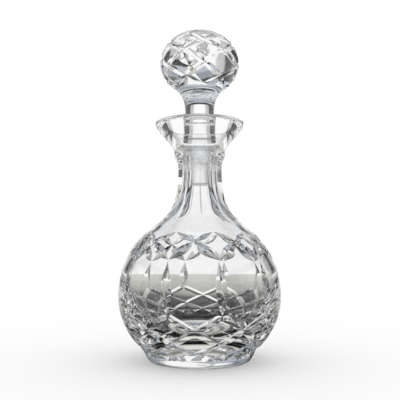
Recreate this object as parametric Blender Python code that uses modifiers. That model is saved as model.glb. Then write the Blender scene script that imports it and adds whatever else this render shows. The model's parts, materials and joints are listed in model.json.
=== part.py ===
"""A round cut-crystal decanter with its ball stopper.

It is two pieces of clear lead crystal. The decanter is a thick-walled blown blank: a round
belly, a slender neck and a bowl-shaped lip. Ten flat flutes are cut down the neck, a band of
leaf-shaped mitre cuts goes round the shoulder, ten tall wedges part the belly into windows,
and long mitre cuts cross in a lattice down to the foot, with a star under it. The stopper is
solid: a ball cut all over with crossing mitres, a stem, a plain shank that fills the mouth,
and a tapered peg ground to fit the ground bore of the neck.

Units are metres, +Z is up, and the origin is the centre of the foot.
"""
import math

import bmesh
import bpy
import numpy as np
from mathutils import Vector

MM = 0.001
FULL_TURN = 2 * math.pi

# Blank of the decanter, outside: the belly is two half ellipses on one widest circle, the lower
# one drawn down past the table and cut off by the foot, and shoulder, neck, collar, lip and rim
# stand on it one above the other
BELLY_RADIUS = 63.8 * MM
BELLY_HEIGHT = 51.2 * MM
BELLY_DROP_SHARE = 1.142
BELLY_RISE = 65.2 * MM
FOOT_FACE_RADIUS = 35.9 * MM
FOOT_HEIGHT = 9.4 * MM
FOOT_SLOPE = math.radians(36.0)
HEEL_FILLET = 5.4 * MM
SHOULDER_SHARE = 0.7565
SHOULDER_HANDLE = 16.3 * MM
NECK_RADIUS = 19.5 * MM
NECK_LENGTH = 47.3 * MM
NECK_HANDLE = 34.0 * MM
COLLAR_SWELL = 0.7 * MM
COLLAR_LENGTH = 15.2 * MM
LIP_RADIUS = 35.3 * MM
LIP_LENGTH = 24.0 * MM
LIP_HANDLE = 8.0 * MM
RIM_LENGTH = 1.8 * MM
RIM_WIDTH = 3.2 * MM
RIM_FLAT = 0.1 * MM
MOUTH_FILLET = 2.6 * MM
BELLY_DROP = BELLY_HEIGHT * BELLY_DROP_SHARE
SHOULDER_HEIGHT = BELLY_HEIGHT + BELLY_RISE * SHOULDER_SHARE
NECK_HEIGHT = SHOULDER_HEIGHT + NECK_LENGTH
COLLAR_RADIUS = NECK_RADIUS + COLLAR_SWELL
COLLAR_HEIGHT = NECK_HEIGHT + COLLAR_LENGTH
LIP_HEIGHT = COLLAR_HEIGHT + LIP_LENGTH
RIM_HEIGHT = LIP_HEIGHT + RIM_LENGTH
MOUTH_RADIUS = LIP_RADIUS - RIM_WIDTH - RIM_FLAT - MOUTH_FILLET

# Hollow of the decanter: the bore is narrowest at the neck's height, and its ground taper opens
# upwards into a sloping seat and the bowl of the lip
WALL = 5.2 * MM
BASE_THICKNESS = 11.0 * MM
INNER_SHOULDER_SHARE = 0.788
INNER_SHOULDER_HANDLE = 22.0 * MM
BORE_RADIUS = 8.3 * MM
BORE_HANDLE = 26.0 * MM
TAPER_LENGTH = 18.2 * MM
TAPER_WIDENING = 1.4 * MM
SEAT_WIDTH = 4.0 * MM
SEAT_ANGLE = math.radians(45.0)
FUNNEL_HANDLE = 9.0 * MM
THROAT_RADIUS = BORE_RADIUS + TAPER_WIDENING
THROAT_HEIGHT = NECK_HEIGHT + TAPER_LENGTH
SEAT_RADIUS = THROAT_RADIUS + SEAT_WIDTH

# Underside of the foot
FOOT_RING_WIDTH = 7.5 * MM
FOOT_RECESS = 1.4 * MM
STAR_MARGIN = 3.1 * MM
STAR_VALLEY_SHARE = 0.38
STAR_DEPTH = 2.6 * MM
STAR_OVERRUN = 0.2 * MM
STAR_RAYS = 16
FOOT_RING_INNER = FOOT_FACE_RADIUS - FOOT_RING_WIDTH
STAR_RADIUS = FOOT_RING_INNER - FOOT_RECESS - STAR_MARGIN

# Stopper: its peg hangs a little below the ground taper, and its shank stands proud of the rim
SEAT_CLEARANCE = 0.3 * MM
PEG_OVERHANG = 10.4 * MM
PEG_CHAMFER = 0.8 * MM
SHANK_INSET = 0.5 * MM
SHANK_PROUD = 4.7 * MM
SHANK_FILLET = 1.2 * MM
STEM_RADIUS = 11.9 * MM
STEM_RISE = 5.9 * MM
STEM_HANDLE = 7.5 * MM
BALL_RADIUS = 31.9 * MM
BALL_RISE = 26.5 * MM
BALL_CENTRE_RISE = 36.7 * MM
BALL_NECK_SHARE = 0.8
BALL_HANDLE = 4.0 * MM
PEG_BOTTOM = NECK_HEIGHT - PEG_OVERHANG
SHANK_RADIUS = SEAT_RADIUS - SHANK_INSET
SHANK_TOP = RIM_HEIGHT + SHANK_PROUD
STEM_HEIGHT = SHANK_TOP + STEM_RISE
BALL_HEIGHT = STEM_HEIGHT + BALL_CENTRE_RISE

# Cutting wheels: half the angle of a mitre cut, how far a cutter stands out of the glass, and
# how far above the glass it has lifted at a tip
MITRE_HALF_ANGLE = math.radians(50)
WEDGE_HALF_ANGLE = math.radians(55)
CUTTER_RISE = 2.2 * MM
BALL_CUTTER_RISE = 1.4 * MM
TIP_LIFT = 0.1 * MM

# Cuts round the decanter, all repeated ten times. The leaves' rows are shares of the belly's
# rise above its widest circle, and the lattice's rows are shares of that circle's height.
REPEATS = 10
PITCH = FULL_TURN / REPEATS
SHOULDER_TURN = math.radians(-4.7)
LATTICE_TURN = math.radians(-3.3)
LEAF_SHARES = (0.742, 0.633, 0.431)
UPPER_LEAF_DEPTH = 1.9 * MM
LOWER_LEAF_DEPTH = 3.0 * MM
LEAF_CROSSING_DEPTH = 0.35 * MM
WEDGE_DEPTH = 3.0 * MM
WEDGE_WIDEST_SHARE = 0.55
LATTICE_SHARES = (0.789, 0.570, 0.377, 0.242, 0.142)
LATTICE_DEPTH = 2.1 * MM
LATTICE_RAMP_SHARE = 0.16
LEAF_TOP, LEAF_CROSSING, LEAF_BOTTOM = (BELLY_HEIGHT + BELLY_RISE * share for share in LEAF_SHARES)
LATTICE_ROWS = [BELLY_HEIGHT * share for share in LATTICE_SHARES]

# Flutes down the neck: five places as shares of the way from shoulder to collar, and how deep
# the flat lies below the blank there, as shares of the full depth
FLUTE_TURN = math.radians(-14.0)
FLUTE_SHARES = (0.961, 0.839, 0.408, 0.184, 0.040)
FLUTE_DEPTH = 2.5 * MM
FLUTE_DEPTH_SHARES = (-0.1, 1.0, 0.88, 0.68, -0.1)
FLUTE_WIDTH_SHARE = 1.5
FLUTE_HALF_WIDTH = NECK_RADIUS * math.tan(PITCH / 2) * FLUTE_WIDTH_SHARE
FLUTE_HEIGHTS = [SHOULDER_HEIGHT + (COLLAR_HEIGHT - SHOULDER_HEIGHT) * share for share in FLUTE_SHARES]

# Cuts round the ball, all repeated six times, at latitudes of its outline
BALL_REPEATS = 6
BALL_PITCH = FULL_TURN / BALL_REPEATS
BALL_TURN = math.radians(7.0)
BALL_LATITUDES = [math.radians(angle) for angle in (66.0, 44.0, 25.0, 8.3, -15.0, -36.3, -51.0)]
BALL_CUT_DEPTH = 2.4 * MM
BALL_RAMP_SHARE = 0.10

# Facets
SEGMENTS = 40
ELLIPSE_STEPS = 7
BALL_STEPS = 12
STEM_STEPS = 4
HOLLOW_STEPS = 5
CURVE_STEPS = 6
FILLET_STEPS = 2
CUT_STEPS_PER_ROW = 3
LEAF_STEPS = 4
WEDGE_STEPS = 7
SLOPE_STEP = 0.4 * MM
WELD_DISTANCE = 0.1 * MM


def make_collection(name):
    """A new collection in the scene."""
    collection = bpy.data.collections.new(name)
    bpy.context.scene.collection.children.link(collection)
    return collection


def make_material(name, colour, ior):
    """Clear polished crystal."""
    material = bpy.data.materials.new(name)
    material.use_nodes = True
    surface = material.node_tree.nodes["Principled BSDF"]
    surface.inputs["Base Color"].default_value = (*colour, 1.0)
    surface.inputs["Roughness"].default_value = 0.0
    surface.inputs["Metallic"].default_value = 0.0
    surface.inputs["IOR"].default_value = ior
    surface.inputs["Transmission Weight"].default_value = 1.0
    return material


def bezier(start, start_handle, end_handle, end, steps):
    """Points of a cubic curve, both ends included."""
    points = []
    for index in range(steps + 1):
        t = index / steps
        u = 1 - t
        weights = (u ** 3, 3 * u * u * t, 3 * u * t * t, t ** 3)
        corners = (start, start_handle, end_handle, end)
        points.append(tuple(sum(w * c[axis] for w, c in zip(weights, corners)) for axis in (0, 1)))
    return points


def ellipse_arc(centre, radii, start_angle, end_angle, steps):
    """Points of an elliptical arc, both ends included; angle 0 points outwards, 90 degrees up."""
    points = []
    for index in range(steps + 1):
        angle = start_angle + (end_angle - start_angle) * index / steps
        points.append((centre[0] + radii[0] * math.cos(angle), centre[1] + radii[1] * math.sin(angle)))
    return points


def join(*runs):
    """One outline from several runs whose ends meet."""
    outline = list(runs[0])
    for run in runs[1:]:
        outline.extend(run[1:] if math.dist(outline[-1], run[0]) < WELD_DISTANCE else run)
    return outline


def ellipse_tangent(radius, half_axis, angle):
    """Unit direction of an ellipse at an angle, going up."""
    direction = Vector((-radius * math.sin(angle), half_axis * math.cos(angle)))
    return direction.normalized()


def outer_outline(detail=1):
    """Outside of the blank as (radius, height), from the foot ring up to the top of the rim."""
    heel = ellipse_arc((FOOT_FACE_RADIUS, HEEL_FILLET), (HEEL_FILLET, HEEL_FILLET),
                       -math.pi / 2, -FOOT_SLOPE, FILLET_STEPS * detail)
    low = math.asin((FOOT_HEIGHT - BELLY_HEIGHT) / BELLY_DROP)
    high = math.asin(SHOULDER_SHARE)
    centre = (0, BELLY_HEIGHT)
    lower = ellipse_arc(centre, (BELLY_RADIUS, BELLY_DROP), low, 0, ELLIPSE_STEPS * detail)
    upper = ellipse_arc(centre, (BELLY_RADIUS, BELLY_RISE), 0, high, ELLIPSE_STEPS * detail)
    start = Vector(upper[-1])
    tangent = ellipse_tangent(BELLY_RADIUS, BELLY_RISE, high)
    neck = bezier(start, start + tangent * SHOULDER_HANDLE,
                  (NECK_RADIUS, NECK_HEIGHT - NECK_HANDLE), (NECK_RADIUS, NECK_HEIGHT), CURVE_STEPS * detail)
    lip = bezier((COLLAR_RADIUS, COLLAR_HEIGHT), (COLLAR_RADIUS, COLLAR_HEIGHT + LIP_HANDLE),
                 (LIP_RADIUS, LIP_HEIGHT - LIP_HANDLE), (LIP_RADIUS, LIP_HEIGHT), CURVE_STEPS * detail)
    rim = ellipse_arc((LIP_RADIUS - RIM_WIDTH, LIP_HEIGHT), (RIM_WIDTH, RIM_HEIGHT - LIP_HEIGHT),
                      0, math.pi / 2, FILLET_STEPS * detail)
    return join(heel, lower, upper, neck, lip, rim)


def inner_outline():
    """Hollow as (radius, height), from its floor up to the inner edge of the rim."""
    radii = (BELLY_RADIUS - WALL, BELLY_HEIGHT - BASE_THICKNESS)
    rise = BELLY_RISE - WALL
    high = math.asin(INNER_SHOULDER_SHARE)
    lower = ellipse_arc((0, BELLY_HEIGHT), radii, -math.pi / 2, 0, HOLLOW_STEPS)
    lower[0] = (0, lower[0][1])
    upper = ellipse_arc((0, BELLY_HEIGHT), (radii[0], rise), 0, high, HOLLOW_STEPS)
    start = Vector(upper[-1])
    tangent = ellipse_tangent(radii[0], rise, high)
    neck = bezier(start, start + tangent * INNER_SHOULDER_HANDLE,
                  (BORE_RADIUS, NECK_HEIGHT - BORE_HANDLE), (BORE_RADIUS, NECK_HEIGHT), HOLLOW_STEPS)
    throat = (THROAT_RADIUS, THROAT_HEIGHT)
    seat = Vector((SEAT_RADIUS, THROAT_HEIGHT + SEAT_WIDTH * math.tan(SEAT_ANGLE)))
    along_seat = Vector((math.cos(SEAT_ANGLE), math.sin(SEAT_ANGLE)))
    mouth = Vector((MOUTH_RADIUS, LIP_HEIGHT))
    funnel = bezier(seat, seat + along_seat * FUNNEL_HANDLE,
                    mouth - (mouth - seat).normalized() * FUNNEL_HANDLE, mouth, HOLLOW_STEPS)
    edge = ellipse_arc((MOUTH_RADIUS + MOUTH_FILLET, LIP_HEIGHT), (MOUTH_FILLET, RIM_HEIGHT - LIP_HEIGHT),
                       math.pi, math.pi / 2, FILLET_STEPS)
    return join(lower, upper, neck, [throat], funnel, edge)


def stopper_outline():
    """Outside of the stopper's blank as (radius, height), from the peg's end up to its top."""
    taper = TAPER_WIDENING / TAPER_LENGTH
    seat_lift = SEAT_CLEARANCE * math.tan(SEAT_ANGLE / 2)
    peg_top = (THROAT_RADIUS - SEAT_CLEARANCE, THROAT_HEIGHT + seat_lift)
    end_radius = peg_top[0] - taper * (peg_top[1] - PEG_BOTTOM)
    end = ellipse_arc((end_radius - PEG_CHAMFER, PEG_BOTTOM + PEG_CHAMFER), (PEG_CHAMFER, PEG_CHAMFER),
                      -math.pi / 2, 0, FILLET_STEPS)
    shank_bottom = (SHANK_RADIUS, peg_top[1] + (SHANK_RADIUS - peg_top[0]) * math.tan(SEAT_ANGLE))
    shoulder = ellipse_arc((SHANK_RADIUS - SHANK_FILLET, SHANK_TOP - SHANK_FILLET),
                           (SHANK_FILLET, SHANK_FILLET), 0, math.pi / 2, FILLET_STEPS)
    neck_angle = -math.asin(BALL_NECK_SHARE)
    ball = ellipse_arc((0, BALL_HEIGHT), (BALL_RADIUS, BALL_RISE), neck_angle, math.pi / 2, BALL_STEPS)
    ball[-1] = (0, ball[-1][1])
    joint = Vector(ball[0])
    outwards = ellipse_tangent(BALL_RADIUS, BALL_RISE, neck_angle)
    stem = bezier((STEM_RADIUS, STEM_HEIGHT), (STEM_RADIUS, STEM_HEIGHT + STEM_HANDLE),
                  joint - outwards * BALL_HANDLE, joint, STEM_STEPS)
    return [(0, PEG_BOTTOM)] + join(end, [peg_top], [shank_bottom], shoulder[:-1], stem, ball)


def turned(name, outline, material, collection):
    """A solid of revolution: the outline runs from the axis over the outer side, top to bottom."""
    mesh = bpy.data.meshes.new(name)
    vertices = [(radius, 0, height) for radius, height in outline]
    edges = [(index, index + 1) for index in range(len(vertices) - 1)]
    mesh.from_pydata(vertices, edges, [])
    mesh.materials.append(material)
    piece = bpy.data.objects.new(name, mesh)
    collection.objects.link(piece)
    screw = piece.modifiers.new("Turn", "SCREW")
    screw.axis = "Z"
    screw.steps = SEGMENTS
    screw.render_steps = SEGMENTS
    screw.use_merge_vertices = True
    screw.merge_threshold = WELD_DISTANCE
    screw.use_smooth_shade = True
    return piece


class Surface:
    """Surface of a blank: a point and an outward normal at a turn and a place on the outline."""

    def __init__(self, outline):
        self.radii = np.array([point[0] for point in outline])
        self.heights = np.array([point[1] for point in outline])

    def radius(self, height):
        return float(np.interp(height, self.heights, self.radii))

    def at(self, turn, height):
        radius = self.radius(height)
        slope = (self.radius(height + SLOPE_STEP) - self.radius(height - SLOPE_STEP)) / (2 * SLOPE_STEP)
        outwards = Vector((math.sin(turn), -math.cos(turn), 0))
        normal = (outwards - Vector((0, 0, slope))).normalized()
        return outwards * radius + Vector((0, 0, height)), normal


class Ball:
    """Surface of the stopper's ball, with the outline's own latitude as the place on it."""

    def at(self, turn, latitude):
        outwards = Vector((math.sin(turn), -math.cos(turn), 0))
        across = math.cos(latitude)
        up = math.sin(latitude)
        point = outwards * (BALL_RADIUS * across) + Vector((0, 0, BALL_HEIGHT + BALL_RISE * up))
        normal = (outwards * (across / BALL_RADIUS) + Vector((0, 0, up / BALL_RISE))).normalized()
        return point, normal


def smooth_rows(rows, steps):
    """Places on a smooth line through rows a half pitch apart, and each one's share of the way."""
    count = len(rows) - 1
    places = []
    for index in range(count * steps + 1):
        along = index / steps
        row = min(int(along), count - 1)
        t = along - row
        before = rows[row - 1] if row > 0 else 2 * rows[0] - rows[1]
        after = rows[row + 2] if row + 2 <= count else 2 * rows[count] - rows[count - 1]
        start, end = rows[row], rows[row + 1]
        place = 0.5 * (2 * start + (end - before) * t + (2 * before - 5 * start + 4 * end - after) * t ** 2
                       + (3 * start - before - 3 * end + after) * t ** 3)
        places.append((along, place))
    return places


def ramp(share, width):
    """Depth share of a cut that a round wheel runs in and out of the glass."""
    inside = min(share, 1 - share)
    return 1 - (1 - min(inside / width, 1)) ** 2


def loft(shape, sections):
    """Closes a row of equal sections into a solid."""
    rings = [[shape.verts.new(corner) for corner in section] for section in sections]
    size = len(rings[0])
    for ring, following in zip(rings, rings[1:]):
        for index in range(size):
            after = (index + 1) % size
            shape.faces.new((ring[index], ring[after], following[after], following[index]))
    shape.faces.new(list(reversed(rings[0])))
    shape.faces.new(rings[-1])


def mitre_sections(path, half_angle, rise):
    """Triangular sections of a mitre cut along (point, normal, depth)."""
    widening = math.tan(half_angle)
    sections = []
    for index, (point, normal, depth) in enumerate(path):
        before = path[max(index - 1, 0)][0]
        after = path[min(index + 1, len(path) - 1)][0]
        side = normal.cross(after - before).normalized()
        top = point + normal * rise
        reach = side * ((depth + rise) * widening)
        sections.append((point - normal * depth, top + reach, top - reach))
    return sections


def make_cutter(name, all_sections, collection):
    """One cutter object from the sections of its separate solids."""
    shape = bmesh.new()
    for sections in all_sections:
        loft(shape, sections)
    bmesh.ops.recalc_face_normals(shape, faces=shape.faces)
    mesh = bpy.data.meshes.new(name)
    shape.to_mesh(mesh)
    shape.free()
    return place_cutter(bpy.data.objects.new(name, mesh), collection)


def place_cutter(cutter, collection):
    """Keeps a cutter out of the finished glass."""
    collection.objects.link(cutter)
    cutter.hide_render = True
    cutter.display_type = "WIRE"
    return cutter


def cut(piece, cutter):
    """Cuts a piece of glass."""
    boolean = piece.modifiers.new(cutter.name, "BOOLEAN")
    boolean.operation = "DIFFERENCE"
    boolean.solver = "EXACT"
    boolean.object = cutter


def leaf_line():
    """One line of the shoulder band as (rows gone down, height, depth): a leaf above a leaf."""
    rows = ((LEAF_TOP, LEAF_CROSSING, UPPER_LEAF_DEPTH), (LEAF_CROSSING, LEAF_BOTTOM, LOWER_LEAF_DEPTH))
    stations = []
    for row, (top, bottom, leaf_depth) in enumerate(rows):
        for index in range(row, LEAF_STEPS + 1):
            share = index / LEAF_STEPS
            nearness = 1 - share if row else share
            end_depth = LEAF_CROSSING_DEPTH * nearness - TIP_LIFT * (1 - nearness)
            swell = 4 * share * (1 - share)
            stations.append((row + share, top + (bottom - top) * share, leaf_depth * swell + end_depth))
    return stations


def leaf_cuts(blank, lean):
    """Shoulder band: the lines of leaves that lean one way."""
    all_sections = []
    for repeat in range(REPEATS):
        path = []
        for rows_down, height, depth in leaf_line():
            point, normal = blank.at(SHOULDER_TURN + PITCH * (repeat + lean * (rows_down - 1) / 2), height)
            path.append((point, normal, depth))
        all_sections.append(mitre_sections(path, MITRE_HALF_ANGLE, CUTTER_RISE))
    return all_sections


def wedge_cuts(blank):
    """Tall wedges down the belly, from the leaves' tips to the top of the lattice."""
    power = math.log(0.5) / math.log(WEDGE_WIDEST_SHARE)
    all_sections = []
    for repeat in range(REPEATS):
        path = []
        for index in range(WEDGE_STEPS + 1):
            share = index / WEDGE_STEPS
            depth = WEDGE_DEPTH * math.sin(math.pi * share ** power) - TIP_LIFT
            height = LEAF_BOTTOM + (LATTICE_ROWS[0] - LEAF_BOTTOM) * share
            turn = SHOULDER_TURN + (LATTICE_TURN - SHOULDER_TURN) * share
            point, normal = blank.at(turn + PITCH * (repeat + 0.5), height)
            path.append((point, normal, depth))
        all_sections.append(mitre_sections(path, WEDGE_HALF_ANGLE, CUTTER_RISE))
    return all_sections


def lattice_cuts(surface, rows, first_turn, pitch, repeats, lean, depth, ramp_share, rise):
    """Long crossing mitres that lean one way and pass through rows half a pitch apart."""
    places = smooth_rows(rows, CUT_STEPS_PER_ROW)
    all_sections = []
    for repeat in range(repeats):
        path = []
        for along, place in places:
            share = along / (len(rows) - 1)
            point, normal = surface.at(first_turn + pitch * repeat + lean * pitch / 2 * along, place)
            path.append((point, normal, depth * ramp(share, ramp_share) - TIP_LIFT))
        all_sections.append(mitre_sections(path, MITRE_HALF_ANGLE, rise))
    return all_sections


def flute_cuts(blank, first):
    """Every other flat flute down the neck, as blocks with a flat inner face that stay apart."""
    heights = FLUTE_HEIGHTS
    depths = [FLUTE_DEPTH * share for share in FLUTE_DEPTH_SHARES]
    all_sections = []
    for repeat in range(first, REPEATS, 2):
        turn = FLUTE_TURN + PITCH * repeat
        outwards = Vector((math.sin(turn), -math.cos(turn), 0))
        side = Vector((math.cos(turn), math.sin(turn), 0))
        sections = []
        for row in range(len(heights) - 1):
            for index in range(min(row, 1), CUT_STEPS_PER_ROW + 1):
                share = index / CUT_STEPS_PER_ROW
                height = heights[row] + (heights[row + 1] - heights[row]) * share
                depth = depths[row] + (depths[row + 1] - depths[row]) * share
                if row == 0:
                    depth = depths[0] + (depths[1] - depths[0]) * math.sin(math.pi / 2 * share)
                floor = outwards * (blank.radius(height) - depth) + Vector((0, 0, height))
                reach = outwards * (depth + CUTTER_RISE)
                width = side * FLUTE_HALF_WIDTH
                sections.append((floor - width, floor + width, floor + width + reach, floor - width + reach))
        all_sections.append(sections)
    return all_sections


def star_cutter(collection):
    """Star under the foot: a flat cone whose rim is drawn in between the rays."""
    height = STAR_DEPTH + STAR_OVERRUN
    rim_radius = STAR_RADIUS * height / STAR_DEPTH
    shape = bmesh.new()
    bmesh.ops.create_cone(shape, cap_ends=True, segments=2 * STAR_RAYS, radius1=rim_radius, radius2=0,
                          depth=height)
    for vertex in shape.verts:
        ray = round(math.atan2(vertex.co.y, vertex.co.x) / FULL_TURN * 2 * STAR_RAYS)
        if vertex.co.z < 0 and ray % 2:
            vertex.co.x *= STAR_VALLEY_SHARE
            vertex.co.y *= STAR_VALLEY_SHARE
    mesh = bpy.data.meshes.new("star_cut")
    shape.to_mesh(mesh)
    shape.free()
    cutter = bpy.data.objects.new("star_cut", mesh)
    cutter.location.z = FOOT_RECESS - STAR_OVERRUN + height / 2
    return place_cutter(cutter, collection)


def build_decanter(material, glass, cutters):
    """The decanter: its blank turned, then fluted, mitred and starred."""
    underside = [(FOOT_RING_INNER, 0), (FOOT_RING_INNER - FOOT_RECESS, FOOT_RECESS), (0, FOOT_RECESS)]
    outside = list(reversed(outer_outline()))
    inside = inner_outline()
    body = turned("decanter_body", join(inside, outside, underside), material, glass)
    blank = Surface(outer_outline(detail=4))
    for first in (0, 1):
        cut(body, make_cutter(f"flute_cuts_from_{first + 1}", flute_cuts(blank, first), cutters))
    for lean, side in ((1, "right"), (-1, "left")):
        cut(body, make_cutter(f"leaf_cuts_{side}", leaf_cuts(blank, lean), cutters))
    cut(body, make_cutter("wedge_cuts", wedge_cuts(blank), cutters))
    for lean, side in ((1, "right"), (-1, "left")):
        sections = lattice_cuts(blank, LATTICE_ROWS, LATTICE_TURN + PITCH / 2, PITCH, REPEATS, lean,
                                LATTICE_DEPTH, LATTICE_RAMP_SHARE, CUTTER_RISE)
        cut(body, make_cutter(f"lattice_cuts_{side}", sections, cutters))
    cut(body, star_cutter(cutters))
    return body


def build_stopper(material, glass, cutters):
    """The stopper: its blank turned, then the ball mitred all over."""
    stopper = turned("stopper", list(reversed(stopper_outline())), material, glass)
    for lean, side in ((1, "right"), (-1, "left")):
        sections = lattice_cuts(Ball(), BALL_LATITUDES, BALL_TURN, BALL_PITCH, BALL_REPEATS, lean,
                                BALL_CUT_DEPTH, BALL_RAMP_SHARE, BALL_CUTTER_RISE)
        cut(stopper, make_cutter(f"ball_cuts_{side}", sections, cutters))
    return stopper


def main():
    for leftover in list(bpy.data.objects):
        bpy.data.objects.remove(leftover, do_unlink=True)
    glass = make_collection("Crystal decanter")
    cutters = make_collection("Cutting wheels")
    crystal = make_material("lead_crystal", (1.0, 1.0, 1.0), 1.545)
    build_decanter(crystal, glass, cutters)
    build_stopper(crystal, glass, cutters)


main()
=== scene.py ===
# %% [markdown]
# # A cut-crystal decanter and its ball stopper
#
# The real object is two pieces of clear lead crystal. The decanter is blown, so before any
# cutting it is a plain shape turned round one axis. A cutter then holds it against spinning
# stone wheels. A wheel with a V edge leaves a mitre, a wheel with a flat edge leaves a flute, and
# nearly everything on the glass is one of these two cuts, repeated round the axis.
#
# This lesson builds it in the same order: turn the blank, run the wheels over it, then find a
# clear glass and a studio that let the facets speak. Glass has no colour of its own, so half of
# the likeness lies in what stands around it.

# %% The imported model
import json
import math

import bmesh
import bpy
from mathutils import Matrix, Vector

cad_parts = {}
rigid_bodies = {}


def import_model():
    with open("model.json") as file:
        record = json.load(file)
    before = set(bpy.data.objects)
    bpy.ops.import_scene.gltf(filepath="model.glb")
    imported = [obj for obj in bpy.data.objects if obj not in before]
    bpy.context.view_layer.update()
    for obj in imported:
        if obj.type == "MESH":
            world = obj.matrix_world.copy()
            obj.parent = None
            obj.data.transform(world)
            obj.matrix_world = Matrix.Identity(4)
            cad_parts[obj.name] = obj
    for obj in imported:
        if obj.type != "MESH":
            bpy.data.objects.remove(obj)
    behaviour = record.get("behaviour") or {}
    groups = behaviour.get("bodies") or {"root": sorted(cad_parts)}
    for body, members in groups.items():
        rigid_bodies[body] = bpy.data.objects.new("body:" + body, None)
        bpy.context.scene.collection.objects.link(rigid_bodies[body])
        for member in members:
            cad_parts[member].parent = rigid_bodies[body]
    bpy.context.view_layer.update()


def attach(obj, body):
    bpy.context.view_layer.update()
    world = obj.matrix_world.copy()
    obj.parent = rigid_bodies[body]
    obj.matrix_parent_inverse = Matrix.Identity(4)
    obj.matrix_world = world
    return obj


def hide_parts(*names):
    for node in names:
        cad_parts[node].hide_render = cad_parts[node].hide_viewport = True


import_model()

MM = 0.001
FULL_TURN = 2 * math.pi

# %% [markdown]
# ## Writing nodes as sums
#
# A node tree drawn by hand shows its wires. A tree written in Python can read like a sum
# instead: a small class wraps one output socket, and each operator on it adds a Math node.
# Every other node comes from one method, which sets the node up first and then fills its
# sockets.

# %% Sockets and trees
class Socket:
    """One output of a node, on which a sum adds Math nodes."""

    def __init__(self, tree, link):
        self.tree = tree
        self.link = link

    def math(self, operation, *values, clamp=False):
        return self.tree.add("ShaderNodeMath", {"operation": operation, "use_clamp": clamp}, values)

    def __add__(self, other):
        return self.math("ADD", self, other)

    def __sub__(self, other):
        return self.math("SUBTRACT", self, other)

    def __mul__(self, other):
        return self.math("MULTIPLY", self, other)

    def __truediv__(self, other):
        return self.math("DIVIDE", self, other)

    def __lt__(self, other):
        return self.math("LESS_THAN", self, other)

    def __gt__(self, other):
        return self.math("GREATER_THAN", self, other)

    def __pow__(self, other):
        return self.math("POWER", self, other)

    def floor(self):
        return self.math("FLOOR", self)


class Tree:
    """A node tree that grows by one method."""

    def __init__(self, nodes):
        self.nodes = nodes

    @property
    def links(self):
        return self.nodes.id_data.links

    def add(self, kind, settings=None, values=(), output=0):
        node = self.nodes.new(kind)
        for name, setting in (settings or {}).items():
            if name == "stops":
                self.set_stops(node.color_ramp, setting)
            else:
                setattr(node, name, setting)
        filled = values.items() if isinstance(values, dict) else enumerate(values)
        for key, value in filled:
            self.fill(self.find(node.inputs, key), value)
        return Socket(self, self.find(node.outputs, output))

    def find(self, sockets, key):
        usable = [socket for socket in sockets if socket.enabled]
        if isinstance(key, int):
            return usable[key]
        return next(socket for socket in usable if socket.name == key)

    def fill(self, socket, value):
        if isinstance(value, Socket):
            self.links.new(value.link, socket)
        else:
            socket.default_value = value

    def set_stops(self, ramp, stops):
        while len(ramp.elements) < len(stops):
            ramp.elements.new(1.0)
        for element, (place, colour) in zip(ramp.elements, stops):
            element.position = place
            element.color = colour


# %% [markdown]
# ## Trees for the Geometry Nodes modifier
#
# Three short trees make all the glass. Each takes its sizes as named inputs, so that one tree
# serves many cuts. A modifier finds its inputs by identifier, and they are set before the object
# is first evaluated.

# %% A tree with named inputs
class GeometryTree(Tree):
    """A Geometry Nodes tree with named inputs for its sizes."""

    def __init__(self, name, sizes):
        self.group = bpy.data.node_groups.new(name, "GeometryNodeTree")
        super().__init__(self.group.nodes)
        sockets = self.group.interface
        sockets.new_socket("Geometry", in_out="OUTPUT", socket_type="NodeSocketGeometry")
        sockets.new_socket("Geometry", in_out="INPUT", socket_type="NodeSocketGeometry")
        for size, kind in sizes.items():
            sockets.new_socket(size, in_out="INPUT", socket_type=f"NodeSocket{kind}")
        self.entry = self.nodes.new("NodeGroupInput")

    def given(self, name):
        return Socket(self, self.entry.outputs[name])

    def close(self, geometry):
        """Every tree ends in plain geometry with the glass on it."""
        plain = self.add("GeometryNodeRealizeInstances", values={"Geometry": geometry})
        finished = self.add("GeometryNodeSetMaterial",
                            values={"Geometry": plain, "Material": self.given("Glass")})
        self.fill(self.nodes.new("NodeGroupOutput").inputs["Geometry"], finished)

    def apply_to(self, piece, **sizes):
        """Adds the tree to a piece as a modifier; underscores in a size stand for spaces."""
        modifier = piece.modifiers.new(self.group.name, "NODES")
        modifier.node_group = self.group
        for socket in self.group.interface.items_tree:
            key = socket.name.replace(" ", "_").lower()
            if socket.in_out == "INPUT" and key in sizes:
                modifier[socket.identifier] = sizes[key]


# %% [markdown]
# ### Turning the blank
#
# A lathe or a mould turns an outline round the axis. Here a grid takes its place: its rows are the
# outline's points, its columns are turns of the axis, and Set Position rolls the flat grid up.
# Merging by distance then closes the seam and the poles.

# %% The turning tree
MERGE_DISTANCE = 0.004 * MM

turning = GeometryTree("Turned blank", {"Facets": "Int", "Glass": "Material"})
outline = turning.given("Geometry")
facets = turning.given("Facets")
count = turning.add("GeometryNodeAttributeDomainSize", {"component": "MESH"}, {"Geometry": outline})
grid = turning.add("GeometryNodeMeshGrid", values={"Vertices X": count, "Vertices Y": facets + 1})
index = turning.add("GeometryNodeInputIndex")
row = ((index + 0.5) / (facets + 1)).floor()
column = index - row * (facets + 1)
place = turning.add("GeometryNodeInputPosition")
point = turning.add("GeometryNodeSampleIndex", {"data_type": "FLOAT_VECTOR"},
                    {"Geometry": outline, "Value": place, "Index": row})
rolled = turning.add("ShaderNodeVectorRotate", {"rotation_type": "Z_AXIS"},
                     {"Vector": point, "Angle": column * FULL_TURN / facets})
moved = turning.add("GeometryNodeSetPosition", values={"Geometry": grid, "Position": rolled})
closed = turning.add("GeometryNodeMergeByDistance", values={"Geometry": moved, "Distance": MERGE_DISTANCE})
turning.close(turning.add("GeometryNodeFlipFaces", values={"Mesh": closed}))
print("turning tree", len(turning.nodes), "nodes")

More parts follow.
